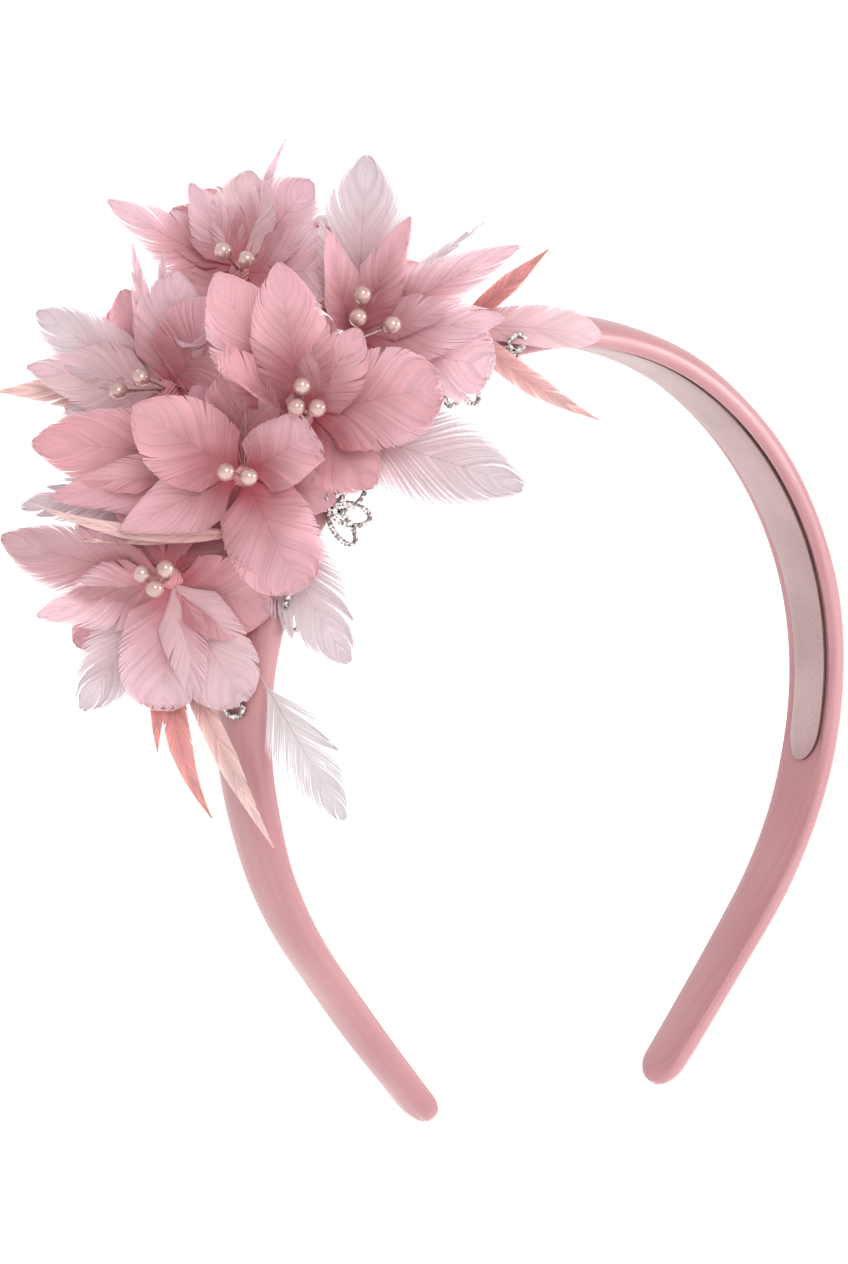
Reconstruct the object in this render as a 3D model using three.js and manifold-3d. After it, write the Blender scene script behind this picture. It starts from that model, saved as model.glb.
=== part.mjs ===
// Feather headband: a padded satin band with a suede lining, and on its left side a cluster of
// feather flowers with pearl stamens, sprays of narrow feathers and openwork rhinestone motifs.
// Millimetres, +Z up, -Y to the front. The origin is the underside of the lining at the crown.
import * as THREE from 'three';
import { mergeVertices } from 'three/addons/utils/BufferGeometryUtils.js';
import Module from 'manifold-3d';

const wasm = await Module();
wasm.setup();

// Driving dimensions. Half the arch, from crown to tip, is a row of arcs: length and turn in degrees.
const CLEARANCE = 0.3;
const ARCS = [[41.6, 34], [41.6, 30.5], [41.6, 34.5], [41.6, 28], [44.6, 3.5]];
const BAND = { crownWidth: 22.5, tipWidth: 11, taper: 0.83, crownThick: 5.6, tipThick: 4.6, round: 6 };
const HALF_ARC = ARCS.reduce((total, [length]) => total + length, 0);
const LINING = { thick: 0.9, margin: 2.8, reach: 134, round: 7 };
const FEATHER = { thick: 1.2, cup: 0.3, root: 1.5, long: 28 };
const HEAD = { radius: 3, stemTop: 1.6, stemFoot: 2.2, sink: 1, sides: 7, rings: 5 };
const PEARL = { radius: 1.9, stem: 0.4, sides: 10, rings: 5 };
const WIRE = { radius: 0.55, sides: 5, steps: 8, hub: 1.2 };

const ROSE = 0xcf8d93;
const SATIN = 0xd6a2a4;
const SUEDE = 0xc9abac;
const CORAL = 0xe19a92;
const CREAM = 0xe6c7bd;
const SILVER = 0xc8c6c4;

// Flowers: where the head is, which way it faces, and where its stem meets the band.
// Angles are in degrees: azimuth to the left of the front, elevation above the level.
const FLOWERS = [
  { name: 'flower_1', head: [-61, -3, -11], azimuth: 36, elevation: 6, arc: -55, side: -2 },
  { name: 'flower_2', head: [-72, 2, -22], azimuth: 38, elevation: 2, arc: -72, side: 0 },
  { name: 'flower_3', head: [-49, -4, 4], azimuth: 34, elevation: 10, arc: -38, side: -2 },
  { name: 'flower_4', head: [-77, 21, -6], azimuth: 48, elevation: 8, arc: -64, side: 5 },
  { name: 'flower_5', head: [-85, 9, -42], azimuth: 41, elevation: -4, arc: -88, side: 2 },
  { name: 'flower_6', head: [-62, 17, 17], azimuth: 45, elevation: 16, arc: -46, side: 5 },
  { name: 'spray_1', head: [-24, -6, 6], azimuth: 36, elevation: 8, arc: -23, side: -5 },
  { name: 'spray_2', head: [-75, 0, -33], azimuth: 36, elevation: 8, arc: -82, side: -3 },
  { name: 'spray_3', head: [-84, 8, -55], azimuth: 36, elevation: 8, arc: -99, side: 3 },
  { name: 'spray_4', head: [-78, -3, -52], azimuth: 36, elevation: 8, arc: -96, side: -3 },
];

// Feathers of each flower and spray, one row a feather:
// clock round the axis, opening from the axis, length, width, curl away from the axis,
// sweep to the clockwise side, roll round the spine.
const FEATHERS = {
  flower_1: [
    [-36, 56, 36, 18, 8, 10, 0],
    [-58, 42, 26, 11, 5, 0, 50],
    [-8, 52, 35, 16, 8, 0, 0],
    [34, 50, 24, 14, 8, 0, 0],
    [74, 60, 30, 20, 10, 8, 0],
    [106, 72, 46, 19, 4, 4, 0],
    [134, 64, 20, 16, 5, 0, 0],
  ],
  flower_2: [
    [-110, 68, 26, 15, 5, -6, 0],
    [-56, 54, 26, 18, 30, 0, 0],
    [58, 60, 18, 14, 10, 0, 0],
    [152, 62, 26, 19, 8, 0, 0],
    [153, 74, 42, 17, 3, -6, 0],
    [-72, 84, 41, 17, 4, -18, 0],
    [-92, 80, 37, 15, 4, -8, 0],
    [-98, 90, 43, 12, 0, 0, 0],
    [0, 76, 22, 16, 6, 0, 0],
  ],
  flower_3: [
    [-20, 46, 26, 11, 6, 6, 30],
    [4, 68, 36, 18, 4, 0, 0],
    [22, 60, 27, 11, 6, 6, 0],
    [56, 70, 37, 13, 6, 12, 0],
    [84, 66, 30, 15, 6, 0, 0],
    [104, 70, 28, 19, 5, 0, 0],
    [-8, 108, 25, 16, 8, 0, 0],
    [40, 112, 22, 15, 8, 0, 0],
  ],
  flower_4: [
    [-62, 76, 29, 13, 5, 4, 0],
    [-82, 72, 27, 16, 5, 0, 0],
    [-90, 84, 33, 8, 0, -3, 0],
    [10, 64, 24, 16, 5, 0, 0],
    [44, 62, 25, 18, 5, 0, 0],
    [-16, 70, 29, 5, 3, 10, 0],
    [-2, 68, 28, 5, 3, 8, 0],
    [110, 74, 22, 17, 5, 0, 0],
    [-120, 80, 24, 16, 5, 0, 0],
    [-40, 118, 26, 16, 8, 0, 0],
    [30, 114, 24, 16, 8, 0, 0],
    [-140, 116, 24, 16, 8, 0, 0],
  ],
  flower_5: [
    [-78, 76, 33, 14, 6, 8, 0],
    [-104, 72, 26, 15, 5, 0, 0],
    [-146, 76, 30, 15, 4, 0, 0],
    [182, 70, 25, 18, 5, 0, 0],
    [150, 66, 24, 15, 5, 0, 0],
    [104, 74, 21, 17, 6, 0, 0],
    [40, 100, 20, 16, 5, 0, 0],
    [-12, 92, 20, 16, 5, 0, 0],
    [-60, 114, 24, 15, 8, 0, 0],
    [-125, 112, 24, 15, 8, 0, 0],
  ],
  flower_6: [
    [-68, 78, 29, 13, 6, 10, 0],
    [40, 72, 22, 16, 12, 0, 0],
    [6, 70, 19, 14, 8, 0, 0],
    [-30, 66, 19, 12, 6, 0, 0],
    [-150, 64, 20, 17, 5, 0, 0],
    [94, 66, 22, 18, 5, 0, 0],
    [14, 74, 27, 3, 4, 12, 0],
    [160, 70, 22, 17, 5, 0, 0],
    [-30, 114, 24, 17, 8, 0, 0],
    [60, 116, 24, 17, 8, 0, 0],
  ],
  spray_1: [
    [50, 72, 22, 4, 3, 0, 0],
    [138, 70, 34, 5, 3, -22, 0],
    [90, 96, 30, 9, 34, 4, -8],
  ],
  spray_2: [
    [-93, 84, 30, 3, 0, 0, 0],
    [-97, 80, 40, 3, 0, 30, 0],
  ],
  spray_3: [
    [190, 82, 35, 5, 3, -42, 0],
    [205, 84, 21, 3.5, 3, -30, 0],
    [160, 78, 44, 6, 3, -10, 0],
  ],
  spray_4: [
    [150, 82, 42, 13, 3, 0, 0],
  ],
};

// Pearl stamens of each flower: clock round the axis, lean from the axis, length of the stem.
const STAMENS = {
  flower_1: [[0, 24, 14.5], [-30, 9, 14], [60, 14, 14]],
  flower_2: [[-60, 12, 14], [75, 8, 13.5]],
  flower_3: [[9, 30, 15], [5, 12, 14], [78, 28, 15]],
  flower_4: [[-55, 12, 13], [-99, 30, 14]],
  flower_5: [[-53, 22, 13], [-80, 6, 13], [10, 18, 13]],
  flower_6: [[-40, 10, 12], [90, 16, 12]],
};

// Rhinestone motifs: where each hub sits along the band, on its front edge or its outer face,
// and its loops, one row a loop: direction (0 to the inside or the front, 90 down the band),
// half length, half width.
const MOTIFS = [
  { name: 'motif_1', arc: -10, on: 'face', loops: [[0, 2.4, 1.8], [180, 2.4, 1.8]] },
  { name: 'motif_2', arc: -17, on: 'edge', loops: [[10, 2, 1.6], [100, 2, 1.5]] },
  { name: 'motif_3', arc: -29, on: 'edge', loops: [[-45, 3.4, 1.9], [8, 3.6, 2], [62, 3.4, 1.9]] },
  { name: 'motif_4', arc: -42, on: 'edge', loops: [[20, 2.8, 1.5]] },
  { name: 'motif_5', arc: -69, on: 'edge', loops: [[96, 3.4, 1.8], [58, 4.4, 2], [22, 4.8, 2.1], [-14, 4.4, 2]] },
  { name: 'motif_6', arc: -90, on: 'edge', loops: [[60, 2.6, 1.7], [-40, 2.2, 1.6]] },
  { name: 'motif_7', arc: -110, on: 'face', loops: [[0, 2.4, 1.5], [90, 2.8, 1.5]] },
];

const radians = THREE.MathUtils.degToRad;
const FRONT = new THREE.Vector3(0, -1, 0);
const SEAT_RISE = LINING.thick + CLEARANCE;

// Sum of vectors, each with its factor.
function sum(...terms) {
  const total = new THREE.Vector3();
  for (const [vector, factor] of terms) total.addScaledVector(vector, factor);
  return total;
}

// The arch at an arc length from the crown, negative on the left: the place on the band's inner
// face, the direction out of it, and the direction along it away from the crown.
function archAt(arc) {
  const hand = arc < 0 ? -1 : 1;
  const place = new THREE.Vector3(0, 0, SEAT_RISE);
  let turn = 0;
  let left = Math.abs(arc);
  for (const [run, degrees] of ARCS) {
    const length = Math.min(left, run);
    const bend = radians(degrees) * length / run;
    const chord = bend > 0 ? 2 * (length / bend) * Math.sin(bend / 2) : 0;
    place.x += hand * chord * Math.cos(turn + bend / 2);
    place.z -= chord * Math.sin(turn + bend / 2);
    turn += bend;
    left -= length;
  }
  const out = new THREE.Vector3(hand * Math.sin(turn), 0, Math.cos(turn));
  const along = new THREE.Vector3(hand * Math.cos(turn), 0, -Math.sin(turn));
  return { place, out, along };
}

// Width and thickness of the band at an arc length.
function bandSize(arc) {
  const part = Math.abs(arc) / HALF_ARC;
  return {
    width: BAND.crownWidth + (BAND.tipWidth - BAND.crownWidth) * part ** BAND.taper,
    thick: BAND.crownThick + (BAND.tipThick - BAND.crownThick) * part,
  };
}

// A closed shell from stations that each hold an upper and a lower row of points.
function shell(stations) {
  const across = stations[0].upper.length;
  const ring = across * 2;
  const points = stations.flatMap(({ upper, lower }) => [...upper, ...lower.toReversed()]);
  const index = [];
  for (let i = 0; i + 1 < stations.length; i++) {
    for (let j = 0; j < ring; j++) {
      const a = i * ring + j;
      const b = i * ring + (j + 1) % ring;
      index.push(a, a + ring, b, b, a + ring, b + ring);
    }
  }
  const last = (stations.length - 1) * ring;
  for (let j = 0; j + 1 < across; j++) {
    const [a, b, c, d] = [j, j + 1, ring - 2 - j, ring - 1 - j];
    index.push(a, b, c, a, c, d);
    index.push(last + a, last + c, last + b, last + a, last + d, last + c);
  }
  const geometry = new THREE.BufferGeometry();
  geometry.setAttribute('position', new THREE.Float32BufferAttribute(points.flatMap((p) => p.toArray()), 3));
  geometry.setIndex(index);
  return geometry;
}

// A three.js geometry as a solid that can be joined and cut, and back again.
function solid(geometry) {
  geometry.deleteAttribute('normal');
  geometry.deleteAttribute('uv');
  const merged = mergeVertices(geometry, 1e-4);
  const vertProperties = merged.attributes.position.array;
  const triVerts = Uint32Array.from(merged.index.array);
  return new wasm.Manifold(new wasm.Mesh({ numProp: 3, vertProperties, triVerts }));
}

function geometryOf(body) {
  const { vertProperties, triVerts } = body.getMesh();
  const geometry = new THREE.BufferGeometry();
  geometry.setAttribute('position', new THREE.BufferAttribute(vertProperties, 3));
  geometry.setIndex(new THREE.BufferAttribute(triVerts, 1));
  geometry.computeVertexNormals();
  return geometry;
}

const join = (bodies) => bodies.reduce((all, body) => all.add(body));
const cut = (body, tools) => tools.reduce((rest, tool) => rest.subtract(tool), body);

// Arc lengths from tip to tip, closer together at the rounded ends.
function arcSteps(reach, round, spacing) {
  const half = [];
  const straight = reach - round;
  const count = Math.round(straight / spacing);
  for (let i = 0; i <= count; i++) half.push(straight * i / count);
  for (const part of [0.35, 0.65, 0.85, 0.96]) half.push(straight + round * part);
  return [...half.slice(1).map((arc) => -arc).toReversed(), ...half];
}

// How much of the full width is left near a rounded end.
function endFactor(arc, reach, round) {
  const past = Math.max(0, (Math.abs(arc) - (reach - round)) / round);
  return Math.sqrt(1 - past * past);
}

// Padded band: flat inside, a low dome outside, with rounded edges and tips.
function makeBand(grow) {
  const stations = arcSteps(HALF_ARC, BAND.round, 13).map((arc) => {
    const { place, out } = archAt(arc);
    const { width, thick } = bandSize(arc);
    const taper = endFactor(arc, HALF_ARC, BAND.round);
    const half = width / 2 * taper + grow;
    const rise = thick * (0.55 + 0.45 * taper);
    const spot = (y, h) => sum([place, 1], [FRONT, -y * half], [out, h]);
    const dome = (y) => rise * (0.35 + 0.65 * Math.sqrt(1 - y * y));
    const upper = [-1, -0.75, 0, 0.75, 1].map((y) => spot(y, dome(y) + grow));
    const lower = [-0.92, -0.5, 0, 0.5, 0.92].map((y) => spot(y, -grow));
    return { upper, lower };
  });
  return shell(stations);
}

// Suede lining: a thin strip under the crown with rounded ends.
function makeLining() {
  const stations = arcSteps(LINING.reach, LINING.round, 11).map((arc) => {
    const { place, out } = archAt(arc);
    const half = (bandSize(arc).width / 2 - LINING.margin) * endFactor(arc, LINING.reach, LINING.round);
    const row = (h) => [-1, 1].map((y) => sum([place, 1], [FRONT, -y * half], [out, h]));
    return { upper: row(-CLEARANCE), lower: row(-SEAT_RISE) };
  });
  return shell(stations);
}

// Axes of a flower: the way it faces, its right and its top as seen from in front of it.
function axesOf({ azimuth, elevation }) {
  const [a, e] = [radians(azimuth), radians(elevation)];
  const face = new THREE.Vector3(-Math.sin(a) * Math.cos(e), -Math.cos(a) * Math.cos(e), Math.sin(e));
  const right = new THREE.Vector3(Math.cos(a), -Math.sin(a), 0);
  return { face, right, top: face.clone().cross(right) };
}

// Part of the full width along a feather: broad past the middle, narrow at root and tip.
function featherProfile(part, slim) {
  const rise = Math.min(1, part / (slim ? 0.3 : 0.55));
  const root = slim ? 0.5 : 0.14;
  const fall = Math.max(0, (part - 0.55) / 0.46);
  const tip = slim ? Math.max(0.1, 1 - fall) : Math.sqrt(1 - fall * fall);
  return (root + (1 - root) * Math.sin(rise * Math.PI / 2)) * tip;
}

// One feather as a thin cupped blade from the flower's head to its tip.
function makeFeather(flower, row, grow) {
  const [clock, opening, length, width, curl, sweep, roll] = row;
  const { face, right, top } = axesOf(flower);
  const turn = radians(clock);
  const radial = sum([top, Math.cos(turn)], [right, Math.sin(turn)]);
  const across = sum([top, -Math.sin(turn)], [right, Math.cos(turn)]);
  const spine = new THREE.Vector3(...flower.head);
  const slim = width < length / 4;
  const count = slim || length < FEATHER.long ? 4 : 5;
  const step = (length + grow) / count;
  const stations = [];
  for (let i = 0; i <= count; i++) {
    const part = i / count;
    const lean = radians(opening + curl * part);
    const bend = radians(sweep * part);
    const forward = sum([face, Math.cos(lean)], [radial, Math.sin(lean)]);
    const normal = sum([face, Math.sin(lean)], [radial, -Math.cos(lean)]);
    const along = sum([forward, Math.cos(bend)], [across, Math.sin(bend)]);
    const side = sum([across, Math.cos(bend)], [forward, -Math.sin(bend)]);
    side.applyAxisAngle(along, radians(roll));
    normal.applyAxisAngle(along, radians(roll));
    spine.addScaledVector(along, i === 0 ? FEATHER.root : step);
    const half = width / 2 * featherProfile(part, slim) + grow;
    const rim = (x) => sum([spine, 1], [side, x * half], [normal, FEATHER.cup * half]);
    const thin = FEATHER.thick / 2 + grow;
    stations.push({
      upper: [sum([spine, 1], [normal, thin]), rim(-1)],
      lower: [rim(1), sum([spine, 1], [normal, -thin])],
    });
  }
  return solid(shell(stations));
}

// A straight round bar between two points.
function makeBar(from, to, fromRadius, toRadius, sides) {
  const way = to.clone().sub(from);
  const bar = new THREE.CylinderGeometry(toRadius, fromRadius, way.length(), sides);
  const up = new THREE.Vector3(0, 1, 0);
  bar.applyQuaternion(new THREE.Quaternion().setFromUnitVectors(up, way.clone().normalize()));
  const middle = sum([from, 0.5], [to, 0.5]);
  bar.translate(middle.x, middle.y, middle.z);
  return solid(bar);
}

function makeBall(place, radius, sides, rings) {
  const ball = new THREE.SphereGeometry(radius, sides, rings);
  ball.translate(place.x, place.y, place.z);
  return solid(ball);
}

// Head and bound stem of a flower, down to the band's outer face.
function makeCore(flower, grow) {
  const head = new THREE.Vector3(...flower.head);
  const { place, out } = archAt(flower.arc);
  const foot = sum([place, 1], [FRONT, -flower.side], [out, bandSize(flower.arc).thick - HEAD.sink]);
  const stem = makeBar(foot, head, HEAD.stemFoot + grow, HEAD.stemTop + grow, HEAD.sides);
  return makeBall(head, HEAD.radius + grow, HEAD.sides, HEAD.rings).add(stem);
}

// A pearl on its wire stem, seated on the flower's head.
function makePearl(flower, [clock, lean, length], grow) {
  const { face, right, top } = axesOf(flower);
  const [turn, tilt] = [radians(clock), radians(lean)];
  const way = sum(
    [face, Math.cos(tilt)],
    [top, Math.sin(tilt) * Math.cos(turn)],
    [right, Math.sin(tilt) * Math.sin(turn)],
  );
  const head = new THREE.Vector3(...flower.head);
  const root = sum([head, 1], [way, HEAD.radius + CLEARANCE - grow]);
  const centre = sum([head, 1], [way, length]);
  const stem = makeBar(root, centre, PEARL.stem + grow, PEARL.stem + grow, 5);
  return makeBall(centre, PEARL.radius + grow, PEARL.sides, PEARL.rings).add(stem);
}

// A wire loop: an oval ring of round section in the plane of two directions.
function makeLoop(middle, long, wide, halfLength, halfWidth, radius) {
  const normal = long.clone().cross(wide);
  const points = [];
  const index = [];
  for (let i = 0; i < WIRE.steps; i++) {
    const turn = i / WIRE.steps * 2 * Math.PI;
    const spoke = sum([long, Math.cos(turn) * halfWidth], [wide, Math.sin(turn) * halfLength]).normalize();
    const centre = sum([middle, 1], [long, Math.cos(turn) * halfLength], [wide, Math.sin(turn) * halfWidth]);
    for (let j = 0; j < WIRE.sides; j++) {
      const angle = j / WIRE.sides * 2 * Math.PI;
      points.push(sum([centre, 1], [spoke, Math.cos(angle) * radius], [normal, Math.sin(angle) * radius]));
      const a = i * WIRE.sides + j;
      const b = i * WIRE.sides + (j + 1) % WIRE.sides;
      const [c, d] = [a, b].map((k) => (k + WIRE.sides) % (WIRE.steps * WIRE.sides));
      index.push(a, c, b, b, c, d);
    }
  }
  const geometry = new THREE.BufferGeometry();
  geometry.setAttribute('position', new THREE.Float32BufferAttribute(points.flatMap((p) => p.toArray()), 3));
  geometry.setIndex(index);
  return solid(geometry);
}

// One motif: loops of wire joined at a hub that sits on the band.
function makeMotif({ arc, on, loops }, grow) {
  const { place, out, along } = archAt(arc);
  const { width, thick } = bandSize(arc);
  const lift = CLEARANCE + WIRE.hub;
  const onEdge = on === 'edge';
  const hub = onEdge
    ? sum([place, 1], [out, thick * 0.4], [FRONT, width / 2 + lift])
    : sum([place, 1], [out, thick + lift]);
  const zero = onEdge ? out.clone().negate() : FRONT;
  const bodies = loops.map(([direction, halfLength, halfWidth]) => {
    const turn = radians(direction);
    const long = sum([zero, Math.cos(turn)], [along, Math.sin(turn)]);
    const wide = sum([zero, -Math.sin(turn)], [along, Math.cos(turn)]);
    const middle = sum([hub, 1], [long, halfLength + WIRE.hub / 2]);
    return makeLoop(middle, long, wide, halfLength, halfWidth, WIRE.radius + grow);
  });
  return join([makeBall(hub, WIRE.hub + grow, 6, 4), ...bodies]);
}

// Assembly: the stiff pieces keep their shape, and each soft one is cut clear of what it meets.
const headband = new THREE.Group();

function add(name, geometry, color, roughness, metalness) {
  const mesh = new THREE.Mesh(geometry, new THREE.MeshStandardMaterial({ color, roughness, metalness }));
  mesh.name = name;
  headband.add(mesh);
}

add('band', makeBand(0), SATIN, 0.45, 0);
add('lining', makeLining(), SUEDE, 0.9, 0);

const stiffTools = [solid(makeBand(CLEARANCE))];
for (const motif of MOTIFS) {
  add(motif.name, geometryOf(makeMotif(motif, 0)), SILVER, 0.25, 1);
  stiffTools.push(makeMotif(motif, CLEARANCE));
}
for (const flower of FLOWERS) {
  const stamens = STAMENS[flower.name] ?? [];
  stamens.forEach((stamen, i) => {
    add(`${flower.name}_pearl_${i + 1}`, geometryOf(makePearl(flower, stamen, 0)), CREAM, 0.25, 0);
    stiffTools.push(makePearl(flower, stamen, CLEARANCE));
  });
}

// The largest body left of a flower after its neighbours' feathers are cut out of it.
const largest = (body) => body.decompose().sort((a, b) => b.volume() - a.volume())[0];
const cores = FLOWERS.map((flower) => makeCore(flower, CLEARANCE));
const featherTools = [];
FLOWERS.forEach((flower, i) => {
  const rows = FEATHERS[flower.name];
  const whole = join([makeCore(flower, 0), ...rows.map((row) => makeFeather(flower, row, 0))]);
  const others = cores.filter((core, j) => j !== i);
  const color = flower.name.startsWith('spray') ? CORAL : ROSE;
  add(flower.name, geometryOf(largest(cut(whole, [...stiffTools, ...others, ...featherTools]))), color, 0.7, 0);
  featherTools.push(...rows.map((row) => makeFeather(flower, row, CLEARANCE)));
});

export default headband;
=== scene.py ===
import math

import bmesh
import bpy
import numpy as np
from mathutils import Matrix, Vector


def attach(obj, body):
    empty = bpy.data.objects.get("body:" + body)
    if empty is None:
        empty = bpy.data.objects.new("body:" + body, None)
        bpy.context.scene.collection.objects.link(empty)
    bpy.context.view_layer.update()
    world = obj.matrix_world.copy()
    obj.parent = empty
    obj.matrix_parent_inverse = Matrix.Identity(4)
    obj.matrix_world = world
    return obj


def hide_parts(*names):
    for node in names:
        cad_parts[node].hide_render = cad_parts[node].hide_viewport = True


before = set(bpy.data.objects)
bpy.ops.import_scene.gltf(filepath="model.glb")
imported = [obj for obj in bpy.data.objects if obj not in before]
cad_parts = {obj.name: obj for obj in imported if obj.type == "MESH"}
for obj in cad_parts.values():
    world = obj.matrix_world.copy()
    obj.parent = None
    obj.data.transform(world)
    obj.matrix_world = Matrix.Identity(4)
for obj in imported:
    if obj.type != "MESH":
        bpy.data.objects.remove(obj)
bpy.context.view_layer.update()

# Camera
# The photo looks at the left front quarter of the headband from a little above, through a long lens.
VIEW_AZIMUTH = math.radians(36.19)
VIEW_ELEVATION = math.radians(7.0)
VIEW_ROLL = math.radians(0.35)
VIEW_DISTANCE = 1.1239
VIEW_CENTRE = Vector((-0.0296, 0.0, -0.0562))
VIEW_LENS = 158.4
VIEW_FAR = 900.0

view_back = Vector((
    -math.sin(VIEW_AZIMUTH) * math.cos(VIEW_ELEVATION),
    -math.cos(VIEW_AZIMUTH) * math.cos(VIEW_ELEVATION),
    math.sin(VIEW_ELEVATION),
))
level_right = Vector((math.cos(VIEW_AZIMUTH), -math.sin(VIEW_AZIMUTH), 0.0))
level_up = view_back.cross(level_right)
view_right = level_right * math.cos(VIEW_ROLL) - level_up * math.sin(VIEW_ROLL)
view_up = level_right * math.sin(VIEW_ROLL) + level_up * math.cos(VIEW_ROLL)

camera_data = bpy.data.cameras.new("photo_camera")
camera_data.lens = VIEW_LENS
camera_data.clip_end = VIEW_FAR
camera = bpy.data.objects.new("photo_camera", camera_data)
camera.matrix_world = Matrix.Translation(VIEW_CENTRE + view_back * VIEW_DISTANCE) @ Matrix(
    (view_right, view_up, view_back)
).transposed().to_4x4()
bpy.context.scene.collection.objects.link(camera)
bpy.context.scene.camera = camera

# Padded band
# A springy hoop wrapped in foam and rose satin: domed outside, flat where it is lined, and oval
# towards its round tips. The satin is pulled tight over a lip on the front edge, with soft gathers
# at the tips. Lofted section by section along an arch of arcs, each a length and a turn in degrees.
HALF_ARCH = ((0.0416, 34.0), (0.0416, 30.5), (0.0416, 34.5), (0.0416, 28.0), (0.0446, 3.5))
HALF_LENGTH = 0.211
SEAT_RISE = 0.0012
CROWN_WIDTH = 0.0225
TIP_WIDTH = 0.011
WIDTH_TAPER = 0.83
CROWN_THICK = 0.0056
TIP_THICK = 0.0046
TIP_ROUND = 0.006
BAND_STATIONS = 300
BAND_DOME_POINTS = 26
BAND_INNER_POINTS = 36
DOME_FULL = 0.86
EDGE_RISE = 0.18
LINED_REACH = 0.126
LINED_FADE = 0.02
LINED_FULL = 0.22
BARE_FULL = 0.8
BARE_BELLY = 0.0009
LIP_DEPTH = 0.0008
LIP_START = 0.74
TIP_LIFT = 0.36
TIP_DROP = 0.55
TIP_LEFT = 0.08
END_REACH = 0.9995
END_CLOSE = 0.45
SATIN_SWAY = 0.00012
SWAY_ALONG = 190
SWAY_ACROSS = 1.7
GATHERS = 9
GATHER_REACH = 0.016
GATHER_DEPTH = 0.00016


def arch_at(arc):
    """Place on the seat line, and the ways out of and along the band, at an arc length from the crown."""
    hand = 1.0 if arc >= 0 else -1.0
    left = abs(arc)
    turn = 0.0
    x = 0.0
    z = SEAT_RISE
    for length, bend_degrees in HALF_ARCH:
        step = min(left, length)
        bend = math.radians(bend_degrees) * step / length
        if step > 0:
            chord = step * math.sin(bend / 2) / (bend / 2)
            x += chord * math.cos(turn + bend / 2)
            z -= chord * math.sin(turn + bend / 2)
            turn += bend
        left -= step
    out = Vector((hand * math.sin(turn), 0.0, math.cos(turn)))
    along = Vector((math.cos(turn), 0.0, -hand * math.sin(turn)))
    return Vector((hand * x, 0.0, z)), out, along


def band_size(arc):
    """Width and thickness of the band at an arc length from the crown."""
    part = min(1.0, abs(arc) / HALF_LENGTH)
    width = CROWN_WIDTH - (CROWN_WIDTH - TIP_WIDTH) * part ** WIDTH_TAPER
    return width, CROWN_THICK - (CROWN_THICK - TIP_THICK) * part


def rounded_end(arc, reach, radius):
    """Share of the full width left at an arc length, for a strip that ends in a round of this radius."""
    past = max(0.0, (abs(arc) - (reach - radius)) / radius)
    return math.sqrt(max(0.0, 1.0 - past * past))


def plain_mesh(bm, name):
    """Ends a mesh edit: faces turned outwards, and the result as a mesh of this name."""
    bmesh.ops.recalc_face_normals(bm, faces=bm.faces)
    mesh = bpy.data.meshes.new(name)
    bm.to_mesh(mesh)
    bm.free()
    return mesh


def loft(name, sections):
    """Skin through equal sections, each a ring of points and its UVs in metres, closed at both ends."""
    count = len(sections[0][0])
    bm = bmesh.new()
    uv_layer = bm.loops.layers.uv.new("cloth")
    verts = [[bm.verts.new(point) for point in ring] for ring, _ in sections]
    for i in range(len(sections) - 1):
        uvs, next_uvs = sections[i][1], sections[i + 1][1]
        for j in range(count):
            k = (j + 1) % count
            face = bm.faces.new((verts[i][j], verts[i][k], verts[i + 1][k], verts[i + 1][j]))
            corners = (uvs[j], uvs[j + 1], next_uvs[j + 1], next_uvs[j])
            for loop, uv in zip(face.loops, corners):
                loop[uv_layer].uv = uv
            face.smooth = True
    bm.faces.new(verts[0][::-1])
    bm.faces.new(verts[-1])
    return plain_mesh(bm, name)


def with_cloth(arc, points):
    """A ring of points with its UVs: the arc length, and the way round the ring so far."""
    run = [0.0]
    for before, after in zip(points, points[1:] + points[:1]):
        run.append(run[-1] + (after - before).length)
    return points, [(arc, step) for step in run]


def arc_steps(reach, count):
    """Arc lengths from end to end of a strip, even along the middle and closer at the rounded ends."""
    steps = []
    for i in range(count + 1):
        angle = math.pi * i / count
        steps.append(-reach * END_REACH * math.cos(angle) * (1.0 + END_CLOSE * math.sin(angle) ** 2))
    return steps


def add_piece(name, mesh, material, node):
    """Puts a finished mesh in the scene in place of its CAD node."""
    piece = bpy.data.objects.new(name, mesh)
    if not mesh.materials:
        mesh.materials.append(material)
    bpy.context.scene.collection.objects.link(piece)
    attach(piece, "root")
    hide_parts(node)
    return piece


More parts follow.
